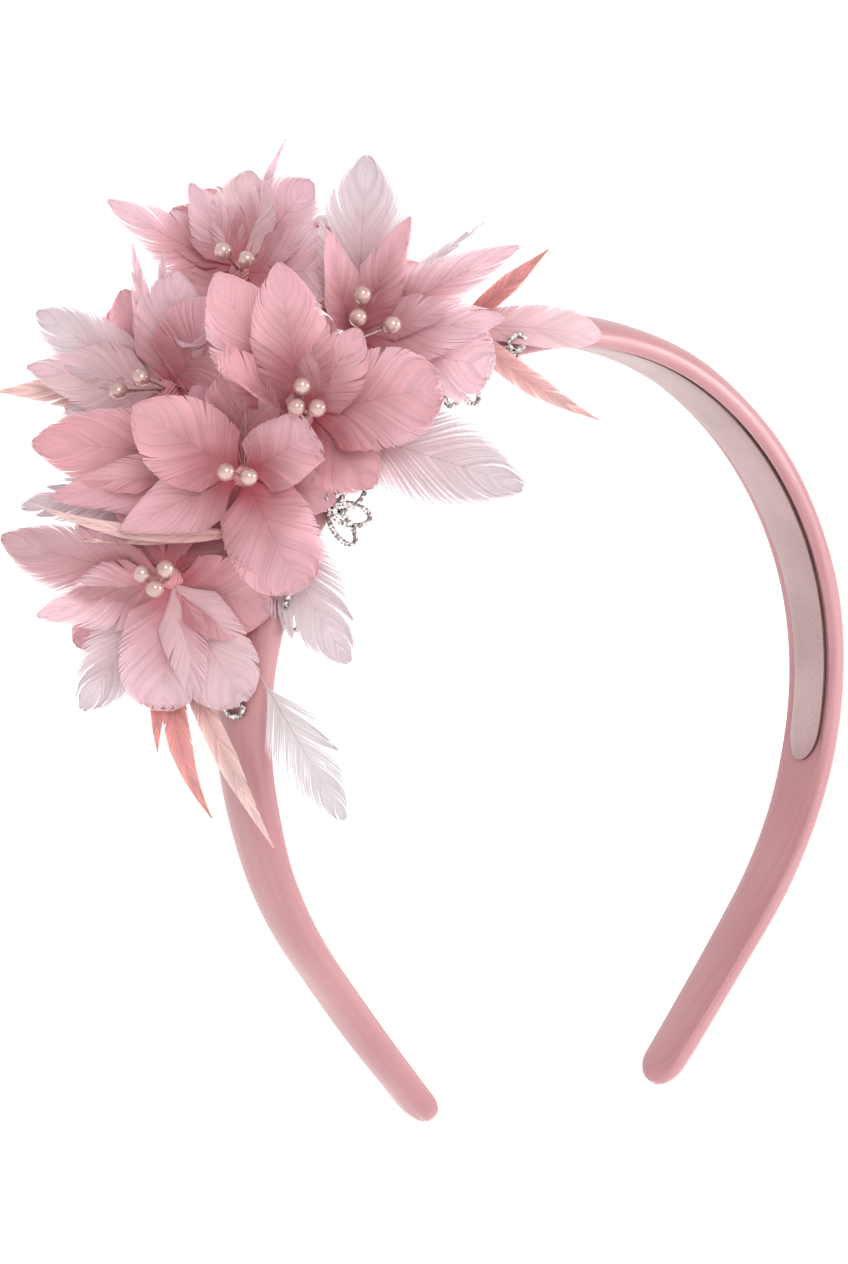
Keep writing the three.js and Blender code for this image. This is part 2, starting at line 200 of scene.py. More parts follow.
def band_ring(arc):
    """Section of the band: over the dome from back to front, round the edge and back along the inside."""
    place, out, _ = arch_at(arc)
    width, thick = band_size(arc)
    taper = max(TIP_LEFT, rounded_end(arc, HALF_LENGTH, TIP_ROUND))
    half = width / 2 * taper
    top = thick * (1.0 - TIP_DROP * (1.0 - taper))
    base = thick * TIP_LIFT * (1 - taper)
    widest = base + (top - base) * EDGE_RISE
    to_tip = max(0.0, 1.0 - (HALF_LENGTH - abs(arc)) / GATHER_REACH)
    section = []
    for i in range(BAND_DOME_POINTS):
        angle = math.pi * i / (BAND_DOME_POINTS - 1)
        across = -math.copysign(abs(math.cos(angle)) ** DOME_FULL, math.cos(angle))
        gather = GATHER_DEPTH * to_tip * math.sin(GATHERS * angle) * math.sin(angle)
        sway = SATIN_SWAY * math.sin(arc * SWAY_ALONG + across * SWAY_ACROSS) * math.sin(angle)
        dome = (top - widest) * math.sin(angle) ** DOME_FULL
        section.append((across, widest + dome + gather + sway))
    fade = min(1.0, max(0.0, (abs(arc) - LINED_REACH) / LINED_FADE))
    bare = fade * fade * (3 - 2 * fade)
    inner_full = LINED_FULL + (BARE_FULL - LINED_FULL) * bare
    low = base - BARE_BELLY * bare * taper
    for i in range(1, BAND_INNER_POINTS):
        angle = math.pi * i / BAND_INNER_POINTS
        across = math.copysign(abs(math.cos(angle)) ** inner_full, math.cos(angle))
        lip = max(0.0, (across - LIP_START) / (1.0 - LIP_START))
        rolled = math.sin(math.pi * lip) * LIP_DEPTH * (1 - bare)
        section.append((across, widest - (widest - low) * math.sin(angle) ** inner_full - rolled))
    points = [place + Vector((0, -across * half, 0)) + out * height for across, height in section]
    return with_cloth(arc, points)


band_mesh = loft("satin_band", [band_ring(arc) for arc in arc_steps(HALF_LENGTH, BAND_STATIONS)])


class Wire:
    """One output of a node tree: arithmetic on it adds Math nodes, and add puts in any other node."""

    def __init__(self, tree, socket=None):
        self.tree = tree
        self.socket = socket

    def add(self, kind, settings=None, inputs=None, output=0):
        """Adds a node with these settings and input values or links, and returns one of its outputs."""
        node = self.tree.nodes.new(kind)
        for name, value in (settings or {}).items():
            setattr(node, name, value)
        for key, value in (inputs or {}).items():
            if isinstance(value, Wire):
                self.tree.links.new(value.socket, node.inputs[key])
            else:
                node.inputs[key].default_value = value
        return Wire(self.tree, node.outputs[output])

    def also(self, output):
        """Another output of the same node."""
        return Wire(self.tree, self.socket.node.outputs[output])

    def join(self, operation, first, second):
        """A Math node, or a Vector Math node where one of the two is a vector."""
        vectors = [isinstance(v, Wire) and v.socket.type == "VECTOR" for v in (first, second)]
        if not any(vectors):
            return self.add("ShaderNodeMath", {"operation": operation}, {0: first, 1: second})
        if operation == "MULTIPLY" and not all(vectors):
            vector, factor = (first, second) if vectors[0] else (second, first)
            return self.add("ShaderNodeVectorMath", {"operation": "SCALE"}, {0: vector, "Scale": factor})
        return self.add("ShaderNodeVectorMath", {"operation": operation}, {0: first, 1: second})

    def __add__(self, other):
        return self.join("ADD", self, other)

    def __radd__(self, other):
        return self.join("ADD", other, self)

    def __sub__(self, other):
        return self.join("SUBTRACT", self, other)

    def __rsub__(self, other):
        return self.join("SUBTRACT", other, self)

    def __mul__(self, other):
        return self.join("MULTIPLY", self, other)

    def __rmul__(self, other):
        return self.join("MULTIPLY", other, self)

    def __truediv__(self, other):
        return self.join("DIVIDE", self, other)

    def __rtruediv__(self, other):
        return self.join("DIVIDE", other, self)

    def __pow__(self, other):
        return self.join("POWER", self, other)

    def through(self, operation):
        """One-sided Math node, such as SINE, FRACT or ABSOLUTE."""
        return self.add("ShaderNodeMath", {"operation": operation}, {0: self})

    def ramp(self, low, high, start=0.0, end=1.0):
        """Smooth step from start to end as this value goes from low to high."""
        return self.add("ShaderNodeMapRange", {"interpolation_type": "SMOOTHSTEP"}, {
            "Value": self, "From Min": low, "From Max": high, "To Min": start, "To Max": end,
        })

    def blend(self, first, second):
        """Mix of two colours by this factor."""
        return self.add("ShaderNodeMix", {"data_type": "RGBA"}, {0: self, 6: first, 7: second}, output=2)

    def noise(self, scale, detail, vector=None):
        """Noise over the piece's own coordinates, or over another vector."""
        if vector is None:
            vector = self.add("ShaderNodeTexCoord", output="Object")
        return self.add("ShaderNodeTexNoise", inputs={"Vector": vector, "Scale": scale, "Detail": detail})

    def cloth(self):
        """The two ways over a piece's cloth, in metres: along it and across it."""
        cloth = self.add("ShaderNodeUVMap", {"uv_map": "cloth"})
        along = self.add("ShaderNodeSeparateXYZ", inputs={0: cloth})
        return along, along.also(1)


def new_material(name):
    """Empty node material, its Principled shader already on the output, and a first wire to build with."""
    material = bpy.data.materials.new(name)
    material.use_nodes = True
    tree = material.node_tree
    return material, tree.nodes["Principled BSDF"], Wire(tree)


def feed(start, shader, **sockets):
    """Links wires to a shader's inputs, or sets constants on them; underscores stand for spaces."""
    for name, value in sockets.items():
        socket = shader.inputs[name.replace("_", " ")]
        if isinstance(value, Wire):
            start.tree.links.new(value.socket, socket)
        else:
            socket.default_value = value


SATIN_BASE = (0.425, 0.207, 0.22, 1)
SATIN_DEEP = (0.36, 0.155, 0.171, 1)
SATIN_SHEEN = (1.0, 0.78, 0.78, 1)
TWILL_ALONG = 9000.0
TWILL_ACROSS = 12000.0
PULL_ALONG = 40.0
PULL_ACROSS = 900.0

satin, satin_shader, start = new_material("rose_satin")
cloth_along, cloth_across = start.cloth()
twill = (cloth_along * TWILL_ALONG + cloth_across * TWILL_ACROSS).through("SINE") * 0.5 + 0.5
slub = start.noise(90.0, 4.0)
shade = start.noise(26.0, 2.0)
drawn = start.add("ShaderNodeCombineXYZ", inputs={
    0: cloth_along * PULL_ALONG, 1: cloth_across * PULL_ACROSS,
})
pulls = start.noise(1.0, 3.0, drawn)
satin_factor = (shade * 0.55 + pulls * 0.35 + twill * 0.1).ramp(0.34, 0.66)
weave = start.add("ShaderNodeBump", inputs={
    "Strength": 0.22, "Distance": 0.0002, "Height": twill * 0.35 + slub * 0.5 + pulls * 0.8,
})
feed(
    start, satin_shader,
    Base_Color=satin_factor.blend(SATIN_DEEP, SATIN_BASE),
    Roughness=slub.ramp(0.3, 0.7, 0.30, 0.38),
    Normal=weave, Sheen_Weight=0.3, Sheen_Roughness=0.35, Sheen_Tint=SATIN_SHEEN, Specular_IOR_Level=0.55,
)

band = add_piece("satin_band", band_mesh, satin, "band")

# Suede lining
# A strip of greyish pink suede cloth under the crown, narrower than the band, with rounded ends.
# It is glued on flat, and the shadow in the narrow gap along its front edge is painted on as a dark line.
# A thin closed loft with softened edges, its nap brushed along the strip.
LINING_REACH = 0.134
LINING_MARGIN = 0.0028
LINING_ROUND = 0.007
LINING_TOP = -0.0003
LINING_FOOT = -0.0012
LINING_EASE = 0.0007
LINING_EASE_POWER = 10
LINING_FOOT_SHARE = 0.995
LINING_END_LEFT = 0.06
LINING_STATIONS = 220
LINING_SIDE = (-1.0, -0.96, -0.92, -0.86, -0.6, -0.2, 0.2, 0.6, 0.86, 0.92, 0.96, 1.0)
SUEDE_DEEP = (0.316, 0.2, 0.202, 1)
SUEDE_BASE = (0.437, 0.298, 0.298, 1)
NAP_ALONG = 1100.0
NAP_ACROSS = 5200.0
# Colours of the painted shadow line along the lining's front edge, mottled.
GAP_SHADOW_DEEP = (0.07, 0.03, 0.03, 1)
GAP_SHADOW_BASE = (0.13, 0.065, 0.065, 1)
# Faces of each ring that carry the painted shadow line: the front edge and the strip beside it.
GAP_SHADOW_FACES = (22, 23)


def lining_half(arc):
    """Half the width of the lining at an arc length."""
    width, _ = band_size(arc)
    end = max(LINING_END_LEFT, rounded_end(arc, LINING_REACH, LINING_ROUND))
    return (width / 2 - LINING_MARGIN) * end


def lining_ring(arc):
    """Flat section with eased lower edges: along the top against the band, and back below."""
    place, out, _ = arch_at(arc)
    half = lining_half(arc)
    points = []
    for share in LINING_SIDE:
        points.append(place + Vector((0, share * half, 0)) + out * LINING_TOP)
    for share in LINING_SIDE[::-1]:
        foot = LINING_FOOT + LINING_EASE * abs(share) ** LINING_EASE_POWER
        points.append(place + Vector((0, share * half * LINING_FOOT_SHARE, 0)) + out * foot)
    return with_cloth(arc, points)


lining_arcs = arc_steps(LINING_REACH, LINING_STATIONS)
lining_mesh = loft("suede_lining", [lining_ring(arc) for arc in lining_arcs])
lining_area = sum(
    (b - a) * (lining_half(a) + lining_half(b)) for a, b in zip(lining_arcs, lining_arcs[1:])
)

suede, suede_shader, start = new_material("pink_suede")
cloth_along, cloth_across = start.cloth()
brushed = start.add("ShaderNodeCombineXYZ", inputs={
    0: cloth_along * NAP_ALONG, 1: cloth_across * NAP_ACROSS,
})
nap = start.noise(1.0, 4.0, brushed)
patch = start.noise(60.0, 3.0)
suede_factor = (nap * 0.5 + patch * 0.5).ramp(0.34, 0.66)
nap_bump = start.add("ShaderNodeBump", inputs={"Strength": 0.5, "Distance": 0.0002, "Height": nap})
feed(
    start, suede_shader,
    Base_Color=suede_factor.blend(SUEDE_DEEP, SUEDE_BASE),
    Roughness=nap.ramp(0.3, 0.7, 0.8, 0.95), Normal=nap_bump, Sheen_Weight=0.5, Sheen_Roughness=0.5,
)
# Dark material that paints the shadow in the gap along the lining's front edge.
gap_shadow, gap_shadow_shader, start = new_material("seam_shadow")
gap_shadow_factor = start.noise(160.0, 2.0).ramp(0.3, 0.7)
feed(start, gap_shadow_shader, Base_Color=gap_shadow_factor.blend(GAP_SHADOW_DEEP, GAP_SHADOW_BASE), Roughness=0.8)
lining_mesh.materials.append(suede)
lining_mesh.materials.append(gap_shadow)
# The front edge faces of every ring get the painted shadow material.
ring_faces = 2 * len(LINING_SIDE)
for polygon in lining_mesh.polygons:
    on_ring = polygon.index < LINING_STATIONS * ring_faces
    if on_ring and polygon.index % ring_faces in GAP_SHADOW_FACES:
        polygon.material_index = 1
lining = add_piece("suede_lining", lining_mesh, suede, "lining")
2 * lining_half(0.0)

# Rhinestone motifs
# Small openwork loops of silver wire along the front edge and over the face of the band.
# Each motif stands on a short post that goes into the padding, and each of its loops is a closed wire
# with a row of faceted stones in cups, set along it by geometry nodes.
MOTIF_WIRE = 0.00042
WIRE_SIDES = 8
STONE_SIZE = 0.00062
STONE_PITCH = 0.00098
STONE_SEAT = 0.75
STONE_SIDES = 8
# Rings of a stone from its table down to the foot of its cup: radius, height and turn in steps of a side.
STONE_RINGS = ((0.62, 0.62, 0.0), (1.0, 0.22, 0.5), (1.04, 0.0, 0.5), (0.7, -0.6, 0.5))
STONE_CUP_TOP = 0.1
SILVER_DEEP = (0.22, 0.18, 0.17, 1)
SILVER_BASE = (0.68, 0.63, 0.60, 1)
# Dark and bright ends of the glints painted on the stones.
CRYSTAL_GLINT_DARK = (0.18, 0.15, 0.145, 1)
CRYSTAL_GLINT_BRIGHT = (0.80, 0.75, 0.73, 1)
LOOP_POINTS = 40
EDGE_STAND = 0.0015
EDGE_LEVEL = 0.4
FACE_STAND = 0.0005
POST_SINK = 0.0012
DOME_FALL = 0.3
HUB_GAP = 0.0006
# Arc along the band in mm, where it sits, and its loops: direction, half length and half width in mm.
MOTIFS = (
    (-10, "face", ((0, 2.4, 1.8), (180, 2.4, 1.8))),
    (-17, "edge", ((10, 2.0, 1.6), (100, 2.0, 1.5))),
    (-29, "edge", ((-45, 3.4, 1.9), (8, 3.6, 2.0), (62, 3.4, 1.9))),
    (-42, "edge", ((20, 2.8, 1.5),)),
    (-69, "edge", ((96, 3.4, 1.8), (58, 4.4, 2.0), (22, 4.8, 2.1), (-14, 4.4, 2.0))),
    (-90, "edge", ((60, 2.6, 1.7), (-40, 2.2, 1.6))),
    (-110, "face", ((0, 2.4, 1.5), (90, 2.8, 1.5))),
)


def point_host(name, points, edges, attributes):
    """Loose points and edges with named attributes, for a node tree to build on."""
    mesh = bpy.data.meshes.new(name)
    mesh.from_pydata(points, edges, [])
    for key, (kind, values) in attributes.items():
        layer = mesh.attributes.new(key, kind, "POINT")
        field = {"FLOAT": "value", "FLOAT_VECTOR": "vector", "FLOAT_COLOR": "color"}[kind]
        layer.data.foreach_set(field, np.array(values, dtype=np.float32).ravel())
    host = bpy.data.objects.new(name, mesh)
    bpy.context.scene.collection.objects.link(host)
    return host


def grown_mesh(host, tree, values):
    """Runs a node tree on a host, with its named inputs set, and returns the result as a plain mesh."""
    modifier = host.modifiers.new("grow", "NODES")
    modifier.node_group = tree
    names = {item.name: item.identifier for item in tree.interface.items_tree if item.item_type == "SOCKET"}
    for key, value in values.items():
        modifier[names[key]] = value
    graph = bpy.context.evaluated_depsgraph_get()
    mesh = bpy.data.meshes.new_from_object(host.evaluated_get(graph), depsgraph=graph)
    bpy.data.objects.remove(host)
    return mesh


def new_tree(name, inputs):
    """Geometry node tree with a geometry in and out and these named inputs."""
    tree = bpy.data.node_groups.new(name, "GeometryNodeTree")
    tree.interface.new_socket("Geometry", in_out="INPUT", socket_type="NodeSocketGeometry")
    tree.interface.new_socket("Geometry", in_out="OUTPUT", socket_type="NodeSocketGeometry")
    for key, kind in inputs:
        tree.interface.new_socket(key, in_out="INPUT", socket_type=kind)
    entry = tree.nodes.new("NodeGroupInput")
    wires = {socket.name: Wire(tree, socket) for socket in entry.outputs if socket.name}
    return tree, wires


def named(start, key, kind="FLOAT"):
    """A named attribute as a wire."""
    return start.add("GeometryNodeInputNamedAttribute", {"data_type": kind}, {"Name": key})


def close_tree(tree, wire):
    """Sends the finished geometry to the tree's output."""
    exit_node = tree.nodes.new("NodeGroupOutput")
    tree.links.new(wire.socket, exit_node.inputs[0])


def stone_mesh():
    """Faceted stone in its cup: table, crown facets, girdle and a tapered cup below."""
    bm = bmesh.new()
    loops = []
    for radius, height, offset in STONE_RINGS:
        angles = [2 * math.pi * (k + offset) / STONE_SIDES for k in range(STONE_SIDES)]
        loops.append([bm.verts.new((radius * math.cos(a), radius * math.sin(a), height)) for a in angles])
    bm.faces.new(loops[0])
    for k in range(STONE_SIDES):
        n = (k + 1) % STONE_SIDES
        bm.faces.new((loops[0][k], loops[1][k], loops[0][n]))
        bm.faces.new((loops[0][n], loops[1][k], loops[1][n]))
        for lower, upper in ((2, 1), (3, 2)):
            bm.faces.new((loops[upper][k], loops[lower][k], loops[lower][n], loops[upper][n]))
    bm.faces.new(loops[3][::-1])
    for face in bm.faces:
        face.material_index = 1 if face.calc_center_median().z > STONE_CUP_TOP else 0
    return plain_mesh(bm, "stone")


silver, silver_shader, start = new_material("dull_silver")
tarnish = start.noise(900.0, 3.0)
feed(
    start, silver_shader,
    Base_Color=tarnish.ramp(0.35, 0.65).blend(SILVER_DEEP, SILVER_BASE),
    Roughness=tarnish.ramp(0.3, 0.7, 0.22, 0.42), Metallic=1.0,
)
crystal, crystal_shader, start = new_material("cut_crystal")
# The stones' colour is painted brighter and darker in small random cells, as painted glints.
place = start.add("ShaderNodeTexCoord", output="Object")
glint = start.add("ShaderNodeTexVoronoi", inputs={"Vector": place, "Scale": 1700.0}, output=1)
glint_value = start.add("ShaderNodeRGBToBW", inputs={0: glint})
feed(
    start, crystal_shader,
    Base_Color=glint_value.ramp(0.2, 0.8).blend(CRYSTAL_GLINT_DARK, CRYSTAL_GLINT_BRIGHT),
    Roughness=glint_value.ramp(0.2, 0.8, 0.04, 0.14), Metallic=0.8, Coat_Weight=1.0, Coat_Roughness=0.03,
)

stone = bpy.data.objects.new("stone", stone_mesh())
stone.data.materials.append(silver)
stone.data.materials.append(crystal)
bpy.context.scene.collection.objects.link(stone)

stone_row, wires = new_tree("stone_row", (
    ("Stone", "NodeSocketObject"), ("Pitch", "NodeSocketFloat"), ("Size", "NodeSocketFloat"),
    ("Wire", "NodeSocketFloat"), ("Metal", "NodeSocketMaterial"),
))
start = Wire(stone_row)
loops = start.add("GeometryNodeMeshToCurve", inputs={0: wires["Geometry"]})
ring = start.add("GeometryNodeCurvePrimitiveCircle", inputs={
    "Resolution": WIRE_SIDES, "Radius": wires["Wire"],
})
tube = start.add("GeometryNodeCurveToMesh", inputs={
    "Curve": loops, "Profile Curve": ring, "Fill Caps": True,
})
tube = start.add("GeometryNodeSetMaterial", inputs={0: tube, "Material": wires["Metal"]})
seats = start.add("GeometryNodeCurveToPoints", {"mode": "LENGTH"}, {
    "Curve": loops, "Length": wires["Pitch"],
})
stone_way = named(start, "facing", "FLOAT_VECTOR")
upright = start.add("FunctionNodeAlignRotationToVector", {"axis": "Z"}, {"Vector": stone_way})
picked = start.add("GeometryNodeObjectInfo", inputs={"Object": wires["Stone"]}, output="Geometry")
stones = start.add("GeometryNodeInstanceOnPoints", inputs={
    "Points": seats, "Instance": picked, "Rotation": upright, "Scale": wires["Size"],
})
stones = start.add("GeometryNodeRealizeInstances", inputs={0: stones})
lifted = start.add("GeometryNodeSetPosition", inputs={
    0: stones, "Offset": stone_way * (wires["Wire"] * STONE_SEAT),
})
both = start.add("GeometryNodeJoinGeometry", inputs={0: tube})
stone_row.links.new(lifted.socket, both.socket.node.inputs[0])
close_tree(stone_row, both)

FRONT = Vector((0.0, -1.0, 0.0))
for number, (arc_mm, seat, motif_loops) in enumerate(MOTIFS, start=1):
    place, out, along = arch_at(arc_mm / 1000)
    width, thick = band_size(arc_mm / 1000)
    if seat == "edge":
        hub = place + out * (EDGE_LEVEL * thick) + FRONT * (width / 2 + EDGE_STAND)
        zero = -out
        facing = FRONT
    else:
        hub = place + out * (thick + FACE_STAND)
        zero = FRONT
        facing = out
    points = [hub - facing * (EDGE_STAND + POST_SINK), hub]
    edges = [(0, 1)]
    for direction, half_length, half_width in motif_loops:
        angle = math.radians(direction)
        long_way = zero * math.cos(angle) + along * math.sin(angle)
        wide_way = facing.cross(long_way)
        middle = hub + long_way * (half_length / 1000 + HUB_GAP)
        first = len(points)
        for k in range(LOOP_POINTS):
            t = 2 * math.pi * k / LOOP_POINTS
            spot = middle + long_way * (half_length / 1000 * math.cos(t))
            spot += wide_way * (half_width / 1000 * math.sin(t))
            if seat == "face":
                spot -= out * (thick * DOME_FALL * (2 * spot.y / width) ** 2)
            points.append(spot)
            edges.append((first + k, first + (k + 1) % LOOP_POINTS))
    host = point_host(f"motif_host_{number}", points, edges, {
        "facing": ("FLOAT_VECTOR", [facing] * len(points)),
    })
    motif_mesh = grown_mesh(host, stone_row, {
        "Stone": stone, "Pitch": STONE_PITCH, "Size": STONE_SIZE, "Wire": MOTIF_WIRE, "Metal": silver,
    })
    add_piece(f"rhinestone_motif_{number}", motif_mesh, silver, f"motif_{number}")
bpy.data.objects.remove(stone)

# Feather flowers and sprays
# Dyed feather petals bound to thread-wrapped heads, on stems that go into the outer face of the band.
# Each feather is a tapering quill with rows of fine barbs grown along it by geometry nodes,
# split into locks and frayed at the rim; shorter petals and loose hairs fill the flowers.
QUILL_POINTS = 25
QUILL_ROOT = 0.0015
QUILL_THICK = 0.00018
QUILL_SIDES = 6
QUILL_TIP = 1.05
GAUGE_LEAST = 0.3
GAUGE_WIDTH = 25
CUP = 0.3
BARB_PITCH = 0.00032
BARB_STEPS = 10
BARB_BREADTH = 0.00068
BARB_THICK = 0.000028
PLUME = "spray_4"
PLUME_BARBS = (0.00032, 0.00036)
PLUME_BARE = 0.26
BARB_LEAN = 1.75
BARB_LEAN_LEAST = 0.11
BARB_LEAN_MOST = 0.58
BARB_NARROW = 0.48
BARB_TRIM = 0.02
BARB_STRAY = 0.00002
ROOT_BREADTH = 1.65
TIP_BREADTH = 1.1
FRAY_NARROW = 0.45
FRAY_TRIM = 0.1
FRAY_STRAY = 0.0003
CUT_BACK = 0.14
RIPPLES = 17.0
RIPPLE_HEIGHT = 0.035
LOCKS = 6.0
LOCK_RARITY = 5.0
LOCK_PULL = 1.9
LOCK_LIFT = 0.05
# How ragged each shape of feather end is.
RAGGED = {"cut": 1.0, "soft": 0.4, "round": 0.12, "point": 0.12}
PETAL_GRAIN = 0.14
SLIM_GRAIN = 0.3
CORE_BALL = 0.003
HEAD_BIND = 0.0023
SPRAY_BIND = 0.0008
HAIRS_A_FLOWER = 14
HAIR_OPENING = (78, 100)
HAIR_LENGTH = (0.72, 1.1)
HAIR_WIDTH = 0.5
HAIR_CURL = (-8, 24)
HAIR_SWEEP = (-26, 26)
HAIR_FRAY = 0.3
HAIR_GAUGE = 0.55
FRONT_OPENING = 100
PETAL_WIDTH = 11
WIDE_GAP = 36
OPEN_GAP = 100
UNDER_OPENING = 15
UNDER_OPENING_MOST = 98
UNDER_LENGTH = 0.86
UNDER_LENGTH_LEAST = 18
UNDER_WIDTH = 0.62
UNDER_CURL = 7
UNDER_FRAY = 0.25
STEM_TOP = 0.0016
STEM_FOOT = 0.0022
STEM_SINK = 0.001
CORE_STATIONS = 36
CORE_SIDES = 16
CORE_POINT = 0.0002
CORE_CLOSE = 1.6
THREAD_RIDGE = 0.04
THREAD_TURN = 5200
THREAD_WRAP = 0.002
THREAD_ALONG = 9000.0
THREAD_ACROSS = 420.0
THREAD_DEEP = (0.55, 0.21, 0.235, 1)
THREAD_BASE = (0.66, 0.31, 0.335, 1)
FLOWER_SEED = 0.37
FEATHER_SEED = 0.613
# Root and tip colours of the feathers: partly their dye and partly painted light, the pale tips standing in
# for light that shows through the thin vanes and the deep roots for shade where petals overlap.
DYES_AND_PAINTED_LIGHT = {
    "rose": ((0.585, 0.118, 0.157), (0.88, 0.66, 0.70)),
    "deep": ((0.54, 0.105, 0.14), (0.855, 0.585, 0.625)),
    "pink": ((0.69, 0.235, 0.28), (0.91, 0.775, 0.81)),
    "pale": ((0.78, 0.50, 0.535), (0.83, 0.765, 0.785)),
    "coral": ((0.72, 0.30, 0.29), (0.84, 0.53, 0.51)),
    "soft_coral": ((0.84, 0.54, 0.52), (0.89, 0.72, 0.71)),
    "peach": ((0.80, 0.53, 0.51), (0.88, 0.75, 0.735)),
    "blush": ((0.76, 0.57, 0.59), (0.85, 0.80, 0.81)),
    "shell": ((0.80, 0.52, 0.55), (0.87, 0.74, 0.765)),
    "plume": ((0.68, 0.60, 0.61), (0.75, 0.72, 0.73)),
    "dusty": ((0.60, 0.22, 0.25), (0.76, 0.58, 0.61)),
    "mauve": ((0.665, 0.205, 0.25), (0.89, 0.74, 0.78)),
}
# How much of a feather's light comes through from its other side.
FEATHER_GLOW = 0.48
# How much of the light the tips of each dye let straight through.
SHEER = {
    "rose": 0.5, "deep": 0.35, "pink": 0.58, "pale": 0.55, "coral": 0.4, "soft_coral": 0.55,
    "peach": 0.5, "blush": 0.65, "shell": 0.45, "plume": 0.36, "dusty": 0.5, "mauve": 0.45,
}
